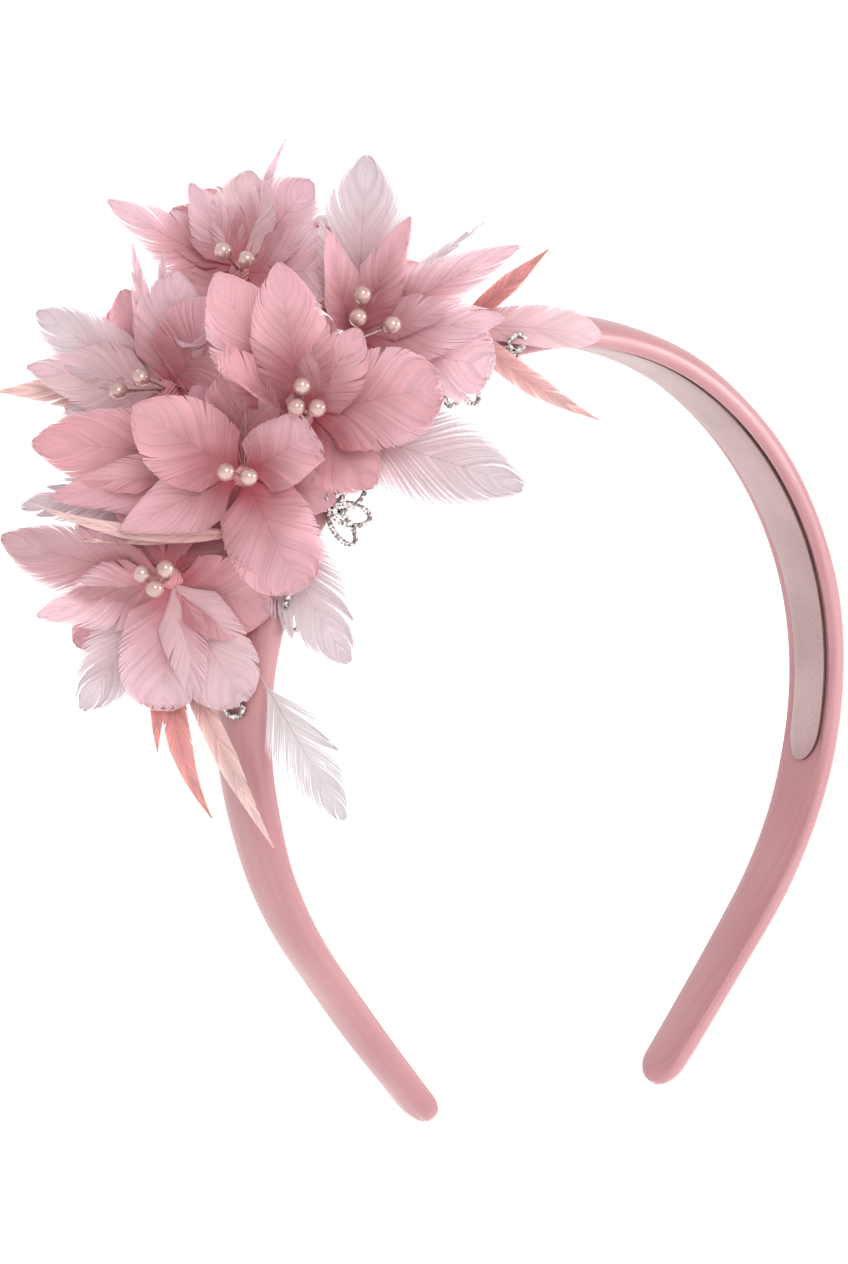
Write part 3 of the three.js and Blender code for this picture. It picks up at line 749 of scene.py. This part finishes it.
# For each flower: head in mm, the way it faces as azimuth and elevation, arc and side of its foot
# on the band in mm, then its feathers: clock angle, opening, length, width, curl, sweep, roll, dye
# and fray, and the shape of the end where it isn't round.
FLOWERS = {
    "flower_1": ((-61, -3, -11), 36, 6, -55, -2, (
        (-36, 56, 36, 18, 8, 10, 0, "rose", 0.3), (-58, 42, 26, 11, 5, 0, 50, "deep", 0.5, "cut"),
        (-8, 52, 35, 16, 8, 0, 0, "rose", 0.3), (34, 50, 24, 14, 8, 0, 0, "rose", 0.4),
        (74, 60, 30, 20, 10, 8, 0, "rose", 0.3, "soft"), (106, 72, 46, 19, 4, 4, 0, "pale", 0.5),
        (134, 64, 20, 16, 5, 0, 0, "deep", 0.4),
    )),
    "flower_2": ((-72, 2, -22), 38, 2, -72, 0, (
        (-110, 68, 26, 15, 5, -6, 0, "rose", 0.2, "point"), (-56, 54, 26, 18, 30, 0, 0, "deep", 0.2),
        (58, 60, 18, 14, 10, 0, 0, "rose", 0.15, "cut"), (152, 62, 26, 19, 8, 0, 0, "rose", 0.3, "soft"),
        (153, 74, 42, 17, 3, -6, 0, "pale", 0.6), (-72, 84, 41, 17, 4, -18, 0, "deep", 0.3),
        (-92, 80, 37, 15, 4, -8, 0, "rose", 0.4, "point"), (-98, 90, 43, 12, 0, 0, 0, "pale", 0.5),
        (0, 76, 22, 16, 6, 0, 0, "deep", 0.3), (-6, 50, 20, 0.6, 20, -18, 0, "coral", 0.2),
        (2, 56, 19, 0.6, 16, -24, 0, "coral", 0.2), (8, 52, 18, 0.6, 22, -10, 0, "peach", 0.2),
        (14, 58, 20, 0.6, 14, -30, 0, "coral", 0.2), (20, 50, 17, 0.6, 24, -16, 0, "peach", 0.2),
    )),
    "flower_3": ((-49, -4, 4), 34, 10, -38, -2, (
        (-20, 46, 26, 11, 6, 6, 30, "rose", 0.3, "point"), (4, 68, 36, 18, 4, 0, 0, "pale", 0.4),
        (22, 60, 27, 11, 6, 6, 0, "rose", 0.4, "point"), (56, 70, 37, 13, 6, 12, 0, "pink", 0.4, "point"),
        (84, 66, 30, 15, 6, 0, 0, "pink", 0.4, "point"), (104, 70, 28, 19, 5, 0, 0, "pink", 0.3, "soft"),
        (-8, 108, 25, 16, 8, 0, 0, "rose", 0.4), (40, 112, 22, 15, 8, 0, 0, "rose", 0.4),
        (42, 70, 34, 4, 4, 14, 0, "blush", 0.9), (50, 72, 32, 3, 4, 18, 0, "blush", 0.9),
    )),
    "flower_4": ((-77, 21, -6), 48, 8, -64, 5, (
        (-62, 76, 29, 13, 5, 4, 0, "pale", 0.5), (-82, 72, 27, 16, 5, 0, 0, "shell", 0.4, "point"),
        (-90, 84, 33, 8, 0, -3, 0, "peach", 0.5), (10, 64, 24, 16, 5, 0, 0, "mauve", 0.4),
        (44, 62, 25, 18, 5, 0, 0, "rose", 0.3), (-16, 70, 29, 5, 3, 10, 0, "pink", 0.6),
        (-2, 68, 28, 5, 3, 8, 0, "shell", 0.6), (110, 74, 22, 17, 5, 0, 0, "deep", 0.3),
        (-120, 80, 24, 16, 5, 0, 0, "pale", 0.4), (-40, 118, 26, 16, 8, 0, 0, "rose", 0.4),
        (30, 114, 24, 16, 8, 0, 0, "pale", 0.4), (-140, 116, 24, 16, 8, 0, 0, "rose", 0.4),
    )),
    "flower_5": ((-85, 9, -42), 41, -4, -88, 2, (
        (-78, 76, 33, 14, 6, 8, 0, "dusty", 0.4), (-104, 72, 26, 15, 5, 0, 0, "pink", 0.4, "point"),
        (-146, 76, 30, 15, 4, 0, 0, "pale", 0.5), (182, 70, 25, 18, 5, 0, 0, "mauve", 0.3, "soft"),
        (147, 69, 28, 17, 5, 0, 0, "shell", 0.3, "soft"), (104, 74, 21, 17, 6, 0, 0, "deep", 0.2),
        (40, 100, 20, 16, 5, 0, 0, "deep", 0.3), (-12, 92, 20, 16, 5, 0, 0, "deep", 0.3),
        (-60, 114, 24, 15, 8, 0, 0, "rose", 0.4), (-125, 112, 24, 15, 8, 0, 0, "rose", 0.4),
    )),
    "flower_6": ((-62, 17, 17), 45, 16, -46, 5, (
        (-68, 78, 29, 13, 6, 10, 0, "pink", 0.5, "point"), (40, 72, 22, 16, 12, 0, 0, "mauve", 0.4),
        (6, 70, 19, 14, 8, 0, 0, "shell", 0.4), (-30, 66, 19, 12, 6, 0, 0, "mauve", 0.4, "point"),
        (-150, 64, 20, 17, 5, 0, 0, "pink", 0.3), (94, 66, 22, 18, 5, 0, 0, "pink", 0.3, "soft"),
        (14, 74, 27, 3, 4, 12, 0, "pink", 0.5), (160, 70, 22, 17, 5, 0, 0, "deep", 0.3),
        (-30, 114, 24, 17, 8, 0, 0, "rose", 0.4), (60, 116, 24, 17, 8, 0, 0, "pale", 0.4),
    )),
    "spray_1": ((-24, -6, 6), 36, 8, -23, -5, (
        (50, 72, 22, 4, 3, 0, 0, "coral", 0.15), (138, 70, 34, 5, 3, -22, 0, "soft_coral", 0.25),
        (91, 96, 30, 9, 34, 4, -8, "shell", 0.2), (100, 74, 21, 0.7, 3, -6, 0, "rose", 0.2),
    )),
    "spray_2": ((-75, 0, -33), 36, 8, -82, -3, (
        (-93, 84, 30, 3, 0, 0, 0, "peach", 0.2), (-97, 80, 40, 3, 0, 30, 0, "peach", 0.2),
    )),
    "spray_3": ((-84, 8, -55), 36, 8, -99, 3, (
        (190, 82, 35, 5, 3, -42, 0, "coral", 0.15), (205, 84, 21, 3.5, 3, -30, 0, "coral", 0.15),
        (160, 78, 44, 4.6, 3, -10, 0, "peach", 0.25),
    )),
    "spray_4": ((-78, -3, -52), 36, 8, -96, -3, (
        (150, 82, 42, 14, 3, 0, 0, "plume", 0.8),
    )),
}


def with_underlayer(rows):
    """A flower's petals, with shorter ones behind them wherever two neighbours leave a gap."""
    petals = sorted(row for row in rows if row[1] < FRONT_OPENING and row[3] >= PETAL_WIDTH)
    filled = list(rows)
    for left, right in zip(petals, petals[1:] + [(petals[0][0] + 360, *petals[0][1:])]):
        gap = right[0] - left[0]
        if WIDE_GAP < gap < OPEN_GAP:
            opening = min(UNDER_OPENING_MOST, (left[1] + right[1]) / 2 + UNDER_OPENING)
            length = max(UNDER_LENGTH_LEAST, min(left[2], right[2]) * UNDER_LENGTH)
            width = length * UNDER_WIDTH
            filled.append((left[0] + gap / 2, opening, length, width, UNDER_CURL, 0, 0, "rose", UNDER_FRAY))
    return filled


def loose_hairs(rows, number):
    """Fine single fibres that stand out between a flower's petals."""
    draw = np.random.default_rng(number)
    longest = sorted(row[2] for row in rows if row[1] < FRONT_OPENING)[-3]
    hairs = []
    for _ in range(HAIRS_A_FLOWER):
        clock = draw.uniform(-180, 180)
        opening = draw.uniform(*HAIR_OPENING)
        length = longest * draw.uniform(*HAIR_LENGTH)
        curl = draw.uniform(*HAIR_CURL)
        sweep = draw.uniform(*HAIR_SWEEP)
        hairs.append((clock, opening, length, HAIR_WIDTH, curl, sweep, 0, "pink", HAIR_FRAY))
    return hairs


def facing_axes(azimuth, elevation):
    """Way a flower faces, its right and its top."""
    a = math.radians(azimuth)
    e = math.radians(elevation)
    face = Vector((-math.sin(a) * math.cos(e), -math.cos(a) * math.cos(e), math.sin(e)))
    right = Vector((math.cos(a), -math.sin(a), 0.0))
    return face, right, face.cross(right)


def petal_half(part, slim, end):
    """Outline of a feather: share of its full width at a share of its length, by the shape of its end."""
    shoulder = 0.3 if slim else 0.55
    root = 0.5 if slim else 0.55
    rise = min(1.0, part / shoulder)
    fall = max(0.0, (part - 0.55) / 0.46)
    tip = max(0.06, 1.0 - fall) if slim else max(0.03, 1.0 - fall ** 1.9) ** 0.84
    if end == "cut":
        tip = 1.0 - 0.2 * fall
    elif end == "soft":
        tip = max(0.05, 1.0 - fall ** 3.2) ** 0.6
    elif end == "point":
        tip = (1.0 - min(0.99, max(0.0, (part - 0.42) / 0.59))) ** 0.78
    return (root + (1.0 - root) * math.sin(rise * math.pi / 2)) * tip


def quill_line(head, axes, row):
    """Points along a feather's quill, with the sideways and upward directions of its vane at each."""
    face, right, top = axes
    clock, opening, length, _, curl, sweep, roll = (
        math.radians(v) if k not in (2, 3) else v / 1000 for k, v in enumerate(row[:7])
    )
    radial = top * math.cos(clock) + right * math.sin(clock)
    across = right * math.cos(clock) - top * math.sin(clock)
    steps = QUILL_POINTS - 1
    spot = head.copy()
    line = []
    for k in range(QUILL_POINTS):
        t = k / steps
        lean = opening + curl * t
        bend = sweep * t
        forward = face * math.cos(lean) + radial * math.sin(lean)
        normal = face * math.sin(lean) - radial * math.cos(lean)
        along = forward * math.cos(bend) + across * math.sin(bend)
        side = across * math.cos(bend) - forward * math.sin(bend)
        rolled = Matrix.Rotation(roll, 3, along)
        spot = spot + along * (QUILL_ROOT if k == 0 else length / steps)
        line.append((spot.copy(), rolled @ side, rolled @ normal))
    return line


def barb_mesh():
    """A pair of barbs, one each side of the quill, as one thin closed strip with a raised midline."""
    bm = bmesh.new()
    rings = []
    for k in range(BARB_STEPS + 1):
        u = 2 * k / BARB_STEPS - 1
        rings.append([bm.verts.new(point) for point in ((u, -0.5, 0.0), (u, 0.5, 0.0), (u, 0.0, 1.0))])
    for low, high in zip(rings, rings[1:]):
        for j in range(3):
            n = (j + 1) % 3
            bm.faces.new((low[j], low[n], high[n], high[j])).smooth = True
            bm.edges.get((low[j], high[j])).smooth = False
    bm.faces.new(rings[0][::-1])
    bm.faces.new(rings[-1])
    return plain_mesh(bm, "barb")


barb = bpy.data.objects.new("barb", barb_mesh())
bpy.context.scene.collection.objects.link(barb)

vanes, wires = new_tree("feather_vanes", (
    ("Barb", "NodeSocketObject"), ("Pitch", "NodeSocketFloat"), ("Breadth", "NodeSocketFloat"),
    ("Thick", "NodeSocketFloat"), ("Quill", "NodeSocketFloat"), ("Cup", "NodeSocketFloat"),
    ("Seed", "NodeSocketInt"), ("Feather", "NodeSocketMaterial"),
))
start = Wire(vanes)


def store(geometry, kind, key, value, domain="POINT"):
    """Stores a value on a geometry as a named attribute."""
    return start.add("GeometryNodeStoreNamedAttribute", {"data_type": kind, "domain": domain}, {
        "Geometry": geometry, "Name": key, "Value": value,
    })


quills = start.add("GeometryNodeMeshToCurve", inputs={0: wires["Geometry"]})
quills = store(quills, "FLOAT", "along", start.add("GeometryNodeSplineParameter", output="Factor"))
quills = store(quills, "FLOAT", "which", start.add("GeometryNodeInputIndex"), domain="CURVE")
roots = start.add("GeometryNodeCurveToPoints", {"mode": "LENGTH"}, {
    "Curve": quills, "Length": wires["Pitch"],
})
chance = start.add("FunctionNodeRandomValue", {"data_type": "FLOAT"}, {"Seed": wires["Seed"]}, output=1)
roots = start.add("GeometryNodeDeleteGeometry", {"domain": "POINT"}, {
    0: roots, "Selection": start.join("GREATER_THAN", named(start, "bare"), 0.5),
})
roots = store(roots, "FLOAT", "chance", chance)
picked = start.add("GeometryNodeObjectInfo", inputs={"Object": wires["Barb"]}, output="Geometry")
picked = store(picked, "FLOAT_VECTOR", "leaf", start.add("GeometryNodeInputPosition"))
barbs = start.add("GeometryNodeInstanceOnPoints", inputs={"Points": roots, "Instance": picked})
barbs = start.add("GeometryNodeRealizeInstances", inputs={0: barbs})

leaf_u = start.add("ShaderNodeSeparateXYZ", inputs={0: named(start, "leaf", "FLOAT_VECTOR")})
leaf_v = leaf_u.also(1)
leaf_w = leaf_u.also(2)
reach = leaf_u.through("ABSOLUTE")
hand = leaf_u.through("SIGN")
root_part = named(start, "along")
luck = named(start, "chance")
fray = named(start, "fray")
length = named(start, "length")
stout = named(start, "stout")
seed = named(start, "seed")
# Barbs lean towards the tip, more so on a broad feather and away from its root.
spread = root_part.ramp(0.0, 0.5, 0.4, 1.0) * start.join(
    "MINIMUM", stout * BARB_LEAN + BARB_LEAN_LEAST, BARB_LEAN_MOST,
)
ahead = spread * ((1.0 - root_part) ** 0.5)
# They close up into locks with gaps between, some of them pulled hard, and narrow to their ends.
lock = root_part * LOCKS + seed * 9.0 + hand * 2.3
lock_number = lock.through("FLOOR")
lock_draw = start.add("ShaderNodeTexWhiteNoise", {"noise_dimensions": "1D"}, {"W": lock_number})
lock_pull = (lock_draw ** LOCK_RARITY) * (fray * LOCK_PULL)
closing = (0.5 - lock.through("FRACT")) * lock_pull * (1.0 / LOCKS) * (reach ** 2.0)
narrowing = 1.0 - (reach ** 4.0) * (fray * FRAY_NARROW + BARB_NARROW)
breadth = leaf_v * (wires["Breadth"] / length) * narrowing
breadth = breadth * root_part.ramp(0.0, 0.5, ROOT_BREADTH, TIP_BREADTH)
# A barb point's share of the quill's length; ragged ends are cut back by chance.
part = root_part + ahead * (reach ** 0.95) + closing + breadth
cut_end = 0.999 - named(start, "cut") * (luck * CUT_BACK)
part = part.add("ShaderNodeClamp", inputs={0: part, 1: 0.0, 2: cut_end})


def sampled(kind, key, output="Value"):
    """An attribute of the quill a barb belongs to, read at the barb point's share of its length."""
    value = named(start, key, kind) if key else 0.0
    return start.add(
        "GeometryNodeSampleCurve", {"data_type": kind, "mode": "FACTOR"},
        {"Curves": quills, "Value": value, "Factor": part, "Curve Index": named(start, "which")},
        output=output,
    )


half = sampled("FLOAT", "half")
spine = sampled("FLOAT", "", output="Position")
side = sampled("FLOAT_VECTOR", "side")
normal = sampled("FLOAT_VECTOR", "normal")
# Out from the quill, trimmed by chance, and up: cupped, rippled, with stray barbs and lifted locks.
trim = 1.0 - luck * (fray * FRAY_TRIM + BARB_TRIM)
across = hand * half * (reach * trim)
ripple = (part * RIPPLES + seed * 40.0 + hand * 1.3).through("SINE") * half * RIPPLE_HEIGHT * reach
stray = (luck - 0.5) * (reach ** 2.0) * (fray * FRAY_STRAY + BARB_STRAY)
lock_lift = (lock_draw - 0.5) * (reach ** 2.0) * half * LOCK_LIFT
cup = wires["Cup"] * (0.4 + seed * 1.3)
lift = cup * half * (reach ** 2.0) + ripple + stray + lock_lift + leaf_w * wires["Thick"]
barbs = start.add("GeometryNodeSetPosition", inputs={
    0: barbs, "Position": spine + side * across + normal * lift,
})
barbs = store(barbs, "FLOAT", "out", reach)
barbs = store(barbs, "FLOAT", "along", part)
round_section = start.add("GeometryNodeCurvePrimitiveCircle", inputs={
    "Resolution": QUILL_SIDES, "Radius": wires["Quill"],
})
shafts = start.add("GeometryNodeCurveToMesh", inputs={
    "Curve": quills, "Profile Curve": round_section, "Fill Caps": True,
    "Scale": named(start, "gauge") * (QUILL_TIP - named(start, "along")),
})
shafts = store(shafts, "FLOAT", "out", 1.0)
both = start.add("GeometryNodeJoinGeometry", inputs={0: barbs})
vanes.links.new(shafts.socket, both.socket.node.inputs[0])
finished = start.add("GeometryNodeSetMaterial", inputs={0: both, "Material": wires["Feather"]})
close_tree(vanes, finished)

feather, feather_shader, start = new_material("dyed_and_lit_feather")


def painted(key, output="Fac"):
    """An attribute of the feathers, as a value or a colour of their material."""
    return start.add("ShaderNodeAttribute", {"attribute_name": key}, output=output)


along = painted("along")
out = painted("out")
chance = painted("chance")
cloud = start.noise(110.0, 3.0)
# The colour runs from root to tip, cloudy, and the barbs differ a little in tone. It is partly dye and
# partly painted light: paler towards the tips and barb ends for light that shows through, deeper at the
# roots for shade where petals overlap.
dye_and_light_ramp = (along + out * 0.2 + (cloud - 0.5) * 0.5 + (chance - 0.5) * 0.04).ramp(0.02, 0.9) ** 0.8
dyed_and_lit = dye_and_light_ramp.blend(painted("root_dye_and_shade", "Color"), painted("tip_dye_and_show_through", "Color"))
streak = 1.0 + (chance - 0.5) * painted("grain") + (cloud - 0.5) * 0.06
dyed_and_lit = start.add("ShaderNodeMix", {"data_type": "RGBA", "blend_type": "MULTIPLY"}, {
    0: 1.0, 6: dyed_and_lit, 7: start.add("ShaderNodeCombineXYZ", inputs={0: streak, 1: streak, 2: streak}),
}, output=2)
thinness = dye_and_light_ramp * 0.75 + out.ramp(0.7, 1.0) * 0.4
feed(
    start, feather_shader, Base_Color=dyed_and_lit, Roughness=chance.ramp(0.0, 1.0, 0.5, 0.68),
    Sheen_Weight=0.25, Sheen_Roughness=0.4, Specular_IOR_Level=0.3, Alpha=1.0 - painted("sheer") * thinness,
)
glow = start.add("ShaderNodeBsdfTranslucent", inputs={"Color": dyed_and_lit})
mixed = start.add("ShaderNodeMixShader", inputs={0: FEATHER_GLOW, 2: glow})
start.tree.links.new(feather_shader.outputs[0], mixed.socket.node.inputs[1])
start.tree.links.new(mixed.socket, start.tree.nodes["Material Output"].inputs["Surface"])

thread, thread_shader, start = new_material("stem_thread")
cloth_along, cloth_across = start.cloth()
turns = (cloth_along * THREAD_ALONG + cloth_across * THREAD_ACROSS).through("SINE") * 0.5 + 0.5
fuzz = start.noise(1500.0, 2.0)
thread_bump = start.add("ShaderNodeBump", inputs={
    "Strength": 0.6, "Distance": 0.0003, "Height": turns + fuzz * 0.4,
})
feed(
    start, thread_shader,
    Base_Color=(turns * 0.6 + fuzz * 0.4).blend(THREAD_DEEP, THREAD_BASE),
    Roughness=fuzz.ramp(0.3, 0.7, 0.6, 0.8), Normal=thread_bump,
)


def turned(name, foot, way, profile, sides, ridge=0.0, wrap=None):
    """Closed skin turned round a line through reaches and radii, with a thread's ridge wound on it."""
    first = way.orthogonal().normalized()
    second = way.cross(first)
    sections = []
    for reached, radius in profile:
        ring = []
        for j in range(sides):
            angle = 2 * math.pi * j / sides
            wound = 1.0 + ridge * math.sin(angle + reached * THREAD_TURN)
            spoke = first * math.cos(angle) + second * math.sin(angle)
            ring.append(foot + way * reached + spoke * (radius * wound))
        round_way = wrap or radius
        sections.append((ring, [(reached, 2 * math.pi * j / sides * round_way) for j in range(sides + 1)]))
    return loft(name, sections)


def core_mesh(name, foot, head, bud):
    """Bound stem from the band up to the flower's head, swelling into a round bud of wrapped thread."""
    way = (head - foot).normalized()
    total = (head - foot).length + bud
    profile = []
    for i in range(CORE_STATIONS + 1):
        t = i / CORE_STATIONS
        reached = total * (1 - (1 - t) ** CORE_CLOSE)
        from_head = reached - (total - bud)
        stem = (STEM_FOOT + (STEM_TOP - STEM_FOOT) * t) * bud / CORE_BALL
        ball = math.sqrt(max(0.0, bud ** 2 - from_head ** 2))
        profile.append((reached, max(ball, stem if from_head < 0 else 0.0, CORE_POINT)))
    mesh = turned(name, foot, way, profile, CORE_SIDES, ridge=THREAD_RIDGE, wrap=THREAD_WRAP)
    for polygon in mesh.polygons:
        polygon.material_index = 1
    return mesh


def feather_host(name, head, axes, rows, number):
    """Quill lines of one flower, with what the vanes need to know at each point."""
    points = []
    edges = []
    ways = {key: [] for key in ("side", "normal")}
    values = {key: [] for key in (
        "half", "length", "stout", "seed", "fray", "gauge", "cut", "bare", "sheer", "grain",
    )}
    dye_and_light_ends = {key: [] for key in ("root_dye_and_shade", "tip_dye_and_show_through")}
    for index, row in enumerate(rows):
        length_mm, width_mm, dye, loose = row[2], row[3], row[7], row[8]
        slim = width_mm < length_mm / 4
        end = row[9] if len(row) > 9 else "round"
        hair = width_mm < 1
        first = len(points)
        for k, (spot, side_way, normal_way) in enumerate(quill_line(head, axes, row)):
            points.append(spot)
            ways["side"].append(side_way)
            ways["normal"].append(normal_way)
            values["half"].append(width_mm / 2000 * petal_half(k / (QUILL_POINTS - 1), slim, end))
            values["length"].append(length_mm / 1000)
            values["stout"].append(width_mm / 2 / length_mm)
            values["seed"].append((number * FLOWER_SEED + index * FEATHER_SEED) % 1.0)
            values["fray"].append(loose)
            values["gauge"].append(HAIR_GAUGE if hair else min(1.0, GAUGE_LEAST + width_mm / GAUGE_WIDTH))
            values["cut"].append(RAGGED[end])
            values["bare"].append(float(hair or (dye == "plume" and k < PLUME_BARE * QUILL_POINTS)))
            values["sheer"].append(SHEER[dye])
            values["grain"].append(SLIM_GRAIN if slim else PETAL_GRAIN)
            # Root and tip colours: partly dye, partly painted light and shade.
            dye_and_light_ends["root_dye_and_shade"].append((*DYES_AND_PAINTED_LIGHT[dye][0], 1.0))
            dye_and_light_ends["tip_dye_and_show_through"].append((*DYES_AND_PAINTED_LIGHT[dye][1], 1.0))
            if k:
                edges.append((first + k - 1, first + k))
    attributes = {}
    for kind, group in (("FLOAT_VECTOR", ways), ("FLOAT", values), ("FLOAT_COLOR", dye_and_light_ends)):
        attributes.update({key: (kind, row) for key, row in group.items()})
    return point_host(name, points, edges, attributes)


for number, (node, placed) in enumerate(FLOWERS.items(), start=1):
    head_mm, azimuth, elevation, arc_mm, side_mm, rows = placed
    flower = node.startswith("flower")
    head = Vector(head_mm) / 1000
    place, out, _ = arch_at(arc_mm / 1000)
    _, thick = band_size(arc_mm / 1000)
    foot = place + Vector((0.0, side_mm / 1000, 0.0)) + out * (thick - STEM_SINK)
    if flower:
        rows = with_underlayer(rows) + loose_hairs(rows, number)
    host = feather_host(f"{node}_quills", head, facing_axes(azimuth, elevation), rows, number)
    pitch, breadth = PLUME_BARBS if node == PLUME else (BARB_PITCH, BARB_BREADTH)
    vane_mesh = grown_mesh(host, vanes, {
        "Barb": barb, "Pitch": pitch, "Breadth": breadth, "Thick": BARB_THICK,
        "Quill": QUILL_THICK, "Cup": CUP, "Seed": number, "Feather": feather,
    })
    bound = bmesh.new()
    bound.from_mesh(vane_mesh)
    for face in bound.faces:
        face.material_index = 0
    bound.from_mesh(core_mesh(f"{node}_core", foot, head, HEAD_BIND if flower else SPRAY_BIND))
    flower_mesh = bpy.data.meshes.new(f"feather_{node}")
    bound.to_mesh(flower_mesh)
    bound.free()
    flower_mesh.materials.append(feather)
    flower_mesh.materials.append(thread)
    add_piece(f"feather_{node}", flower_mesh, feather, node)
bpy.data.objects.remove(barb)

# Pearl stamens
# Small pinkish cream pearls, a little oval, each glued on a fine thread stem that comes out of a
# flower's head. Turned as one closed skin: the stem, the drop of glue under the pearl, the pearl.
PEARL_RADIUS = 0.0019
PEARL_ACROSS = 0.97
PEARL_ALONG = 1.06
PEARL_SWELL = 0.015
PEARL_POINT = 0.00003
PEARL_STEM = 0.0004
STEM_STATIONS = 5
STEM_START = 0.8
STEM_END = 1.02
GLUE_DROP = 1.8
GLUE_STATIONS = 4
PEARL_SIDES = 24
PEARL_STATIONS = 30
PEARL_BASE = (0.53, 0.365, 0.335, 1)
PEARL_DEEP = (0.43, 0.265, 0.25, 1)
# For each flower, its stamens: clock angle, lean from the way the flower faces, and length in mm.
STAMENS = {
    "flower_1": ((0, 24, 14.5), (-30, 9, 14), (60, 14, 14)),
    "flower_2": ((-60, 12, 14), (75, 8, 13.5)),
    "flower_3": ((9, 30, 15), (5, 12, 14), (78, 28, 15)),
    "flower_4": ((-55, 12, 13), (-99, 30, 14)),
    "flower_5": ((-53, 22, 13), (-80, 6, 13), (10, 18, 13)),
    "flower_6": ((-40, 10, 12), (90, 16, 12)),
}

pearl, pearl_shader, start = new_material("cream_pearl")
nacre = start.noise(420.0, 3.0)
pearl_bump = start.add("ShaderNodeBump", inputs={"Strength": 0.08, "Distance": 0.0002, "Height": nacre})
feed(
    start, pearl_shader,
    Base_Color=nacre.ramp(0.3, 0.7).blend(PEARL_BASE, PEARL_DEEP), Metallic=0.45,
    Roughness=nacre.ramp(0.3, 0.7, 0.2, 0.3), Normal=pearl_bump, Coat_Weight=0.6, Coat_Roughness=0.12,
)


def pearl_mesh(name, head, way, length):
    """Stem and pearl turned round the stamen's own line."""
    profile = []
    stem_start = HEAD_BIND * STEM_START
    stem_end = length - PEARL_RADIUS * STEM_END
    for i in range(STEM_STATIONS + 1):
        profile.append((stem_start + (stem_end - stem_start) * i / STEM_STATIONS, PEARL_STEM))
    for i in range(1, PEARL_STATIONS + 1):
        angle = math.pi * i / PEARL_STATIONS
        swell = 1.0 + PEARL_SWELL * math.sin(3 * angle)
        drop = PEARL_STEM * GLUE_DROP * max(0.0, 1 - i / GLUE_STATIONS)
        radius = max(PEARL_RADIUS * PEARL_ACROSS * math.sin(angle) * swell, drop, PEARL_POINT)
        profile.append((length - PEARL_RADIUS * PEARL_ALONG * math.cos(angle), radius))
    return turned(name, head, way, profile, PEARL_SIDES)


for node, stamens in STAMENS.items():
    head_mm, azimuth, elevation = FLOWERS[node][:3]
    head = Vector(head_mm) / 1000
    face, right, top = facing_axes(azimuth, elevation)
    for count, (clock, lean, length_mm) in enumerate(stamens, start=1):
        turn = math.radians(clock)
        tilt = math.radians(lean)
        way = face * math.cos(tilt) + (top * math.cos(turn) + right * math.sin(turn)) * math.sin(tilt)
        name = f"{node}_stamen_{count}"
        stamen_mesh = pearl_mesh(name, head, way, length_mm / 1000)
        add_piece(name, stamen_mesh, pearl, f"{node}_pearl_{count}")

# Studio
# White paper floor well below the tips, an even white sky, and soft lamps from the front left,
# from the right, where it gives the satin its long highlight, and from behind.
FLOOR_LEVEL = -0.24
FLOOR_REACH = 400.0
PAPER_DEEP = (0.93, 0.93, 0.93, 1)
PAPER_BASE = (0.96, 0.96, 0.96, 1)
PAPER_GLOW = 0.3
SKY_COLOUR = (1.0, 0.985, 0.98, 1)
SKY_STRENGTH = 1.0

floor_mesh = bpy.data.meshes.new("studio_floor")
floor_mesh.from_pydata(
    [(x * FLOOR_REACH, y * FLOOR_REACH, FLOOR_LEVEL) for x, y in ((-1, -1), (1, -1), (1, 1), (-1, 1))],
    [], [(0, 1, 2, 3)],
)
paper, paper_shader, start = new_material("white_paper")
grain = start.noise(300.0, 2.0)
feed(
    start, paper_shader, Base_Color=grain.blend(PAPER_DEEP, PAPER_BASE), Roughness=0.9,
    Emission_Color=(1.0, 1.0, 1.0, 1), Emission_Strength=PAPER_GLOW,
)
floor_mesh.materials.append(paper)
floor = bpy.data.objects.new("studio_floor", floor_mesh)
bpy.context.scene.collection.objects.link(floor)

world = bpy.data.worlds.new("white_sky")
world.use_nodes = True
sky = world.node_tree.nodes["Background"]
sky.inputs["Color"].default_value = SKY_COLOUR
sky.inputs["Strength"].default_value = SKY_STRENGTH
bpy.context.scene.world = world


def soft_lamp(name, spot, aim, size, power):
    """Square soft box at a place, turned to what it lights."""
    data = bpy.data.lights.new(name, "AREA")
    data.size = size
    data.energy = power
    lamp = bpy.data.objects.new(name, data)
    lamp.location = spot
    lamp.rotation_euler = (Vector(aim) - Vector(spot)).to_track_quat("-Z", "Y").to_euler()
    bpy.context.scene.collection.objects.link(lamp)


soft_lamp("key_lamp", spot=(-0.55, -1.35, 0.8), aim=(-0.05, 0.0, -0.02), size=0.8, power=9.5)
soft_lamp("right_lamp", spot=(1.0, -0.83, 0.17), aim=(0.03, 0.0, -0.02), size=0.34, power=8.0)
soft_lamp("back_lamp", spot=(0.2, 1.3, 0.9), aim=(-0.03, 0.0, -0.03), size=0.8, power=5.0)

bpy.context.scene.view_settings.view_transform = "Standard"
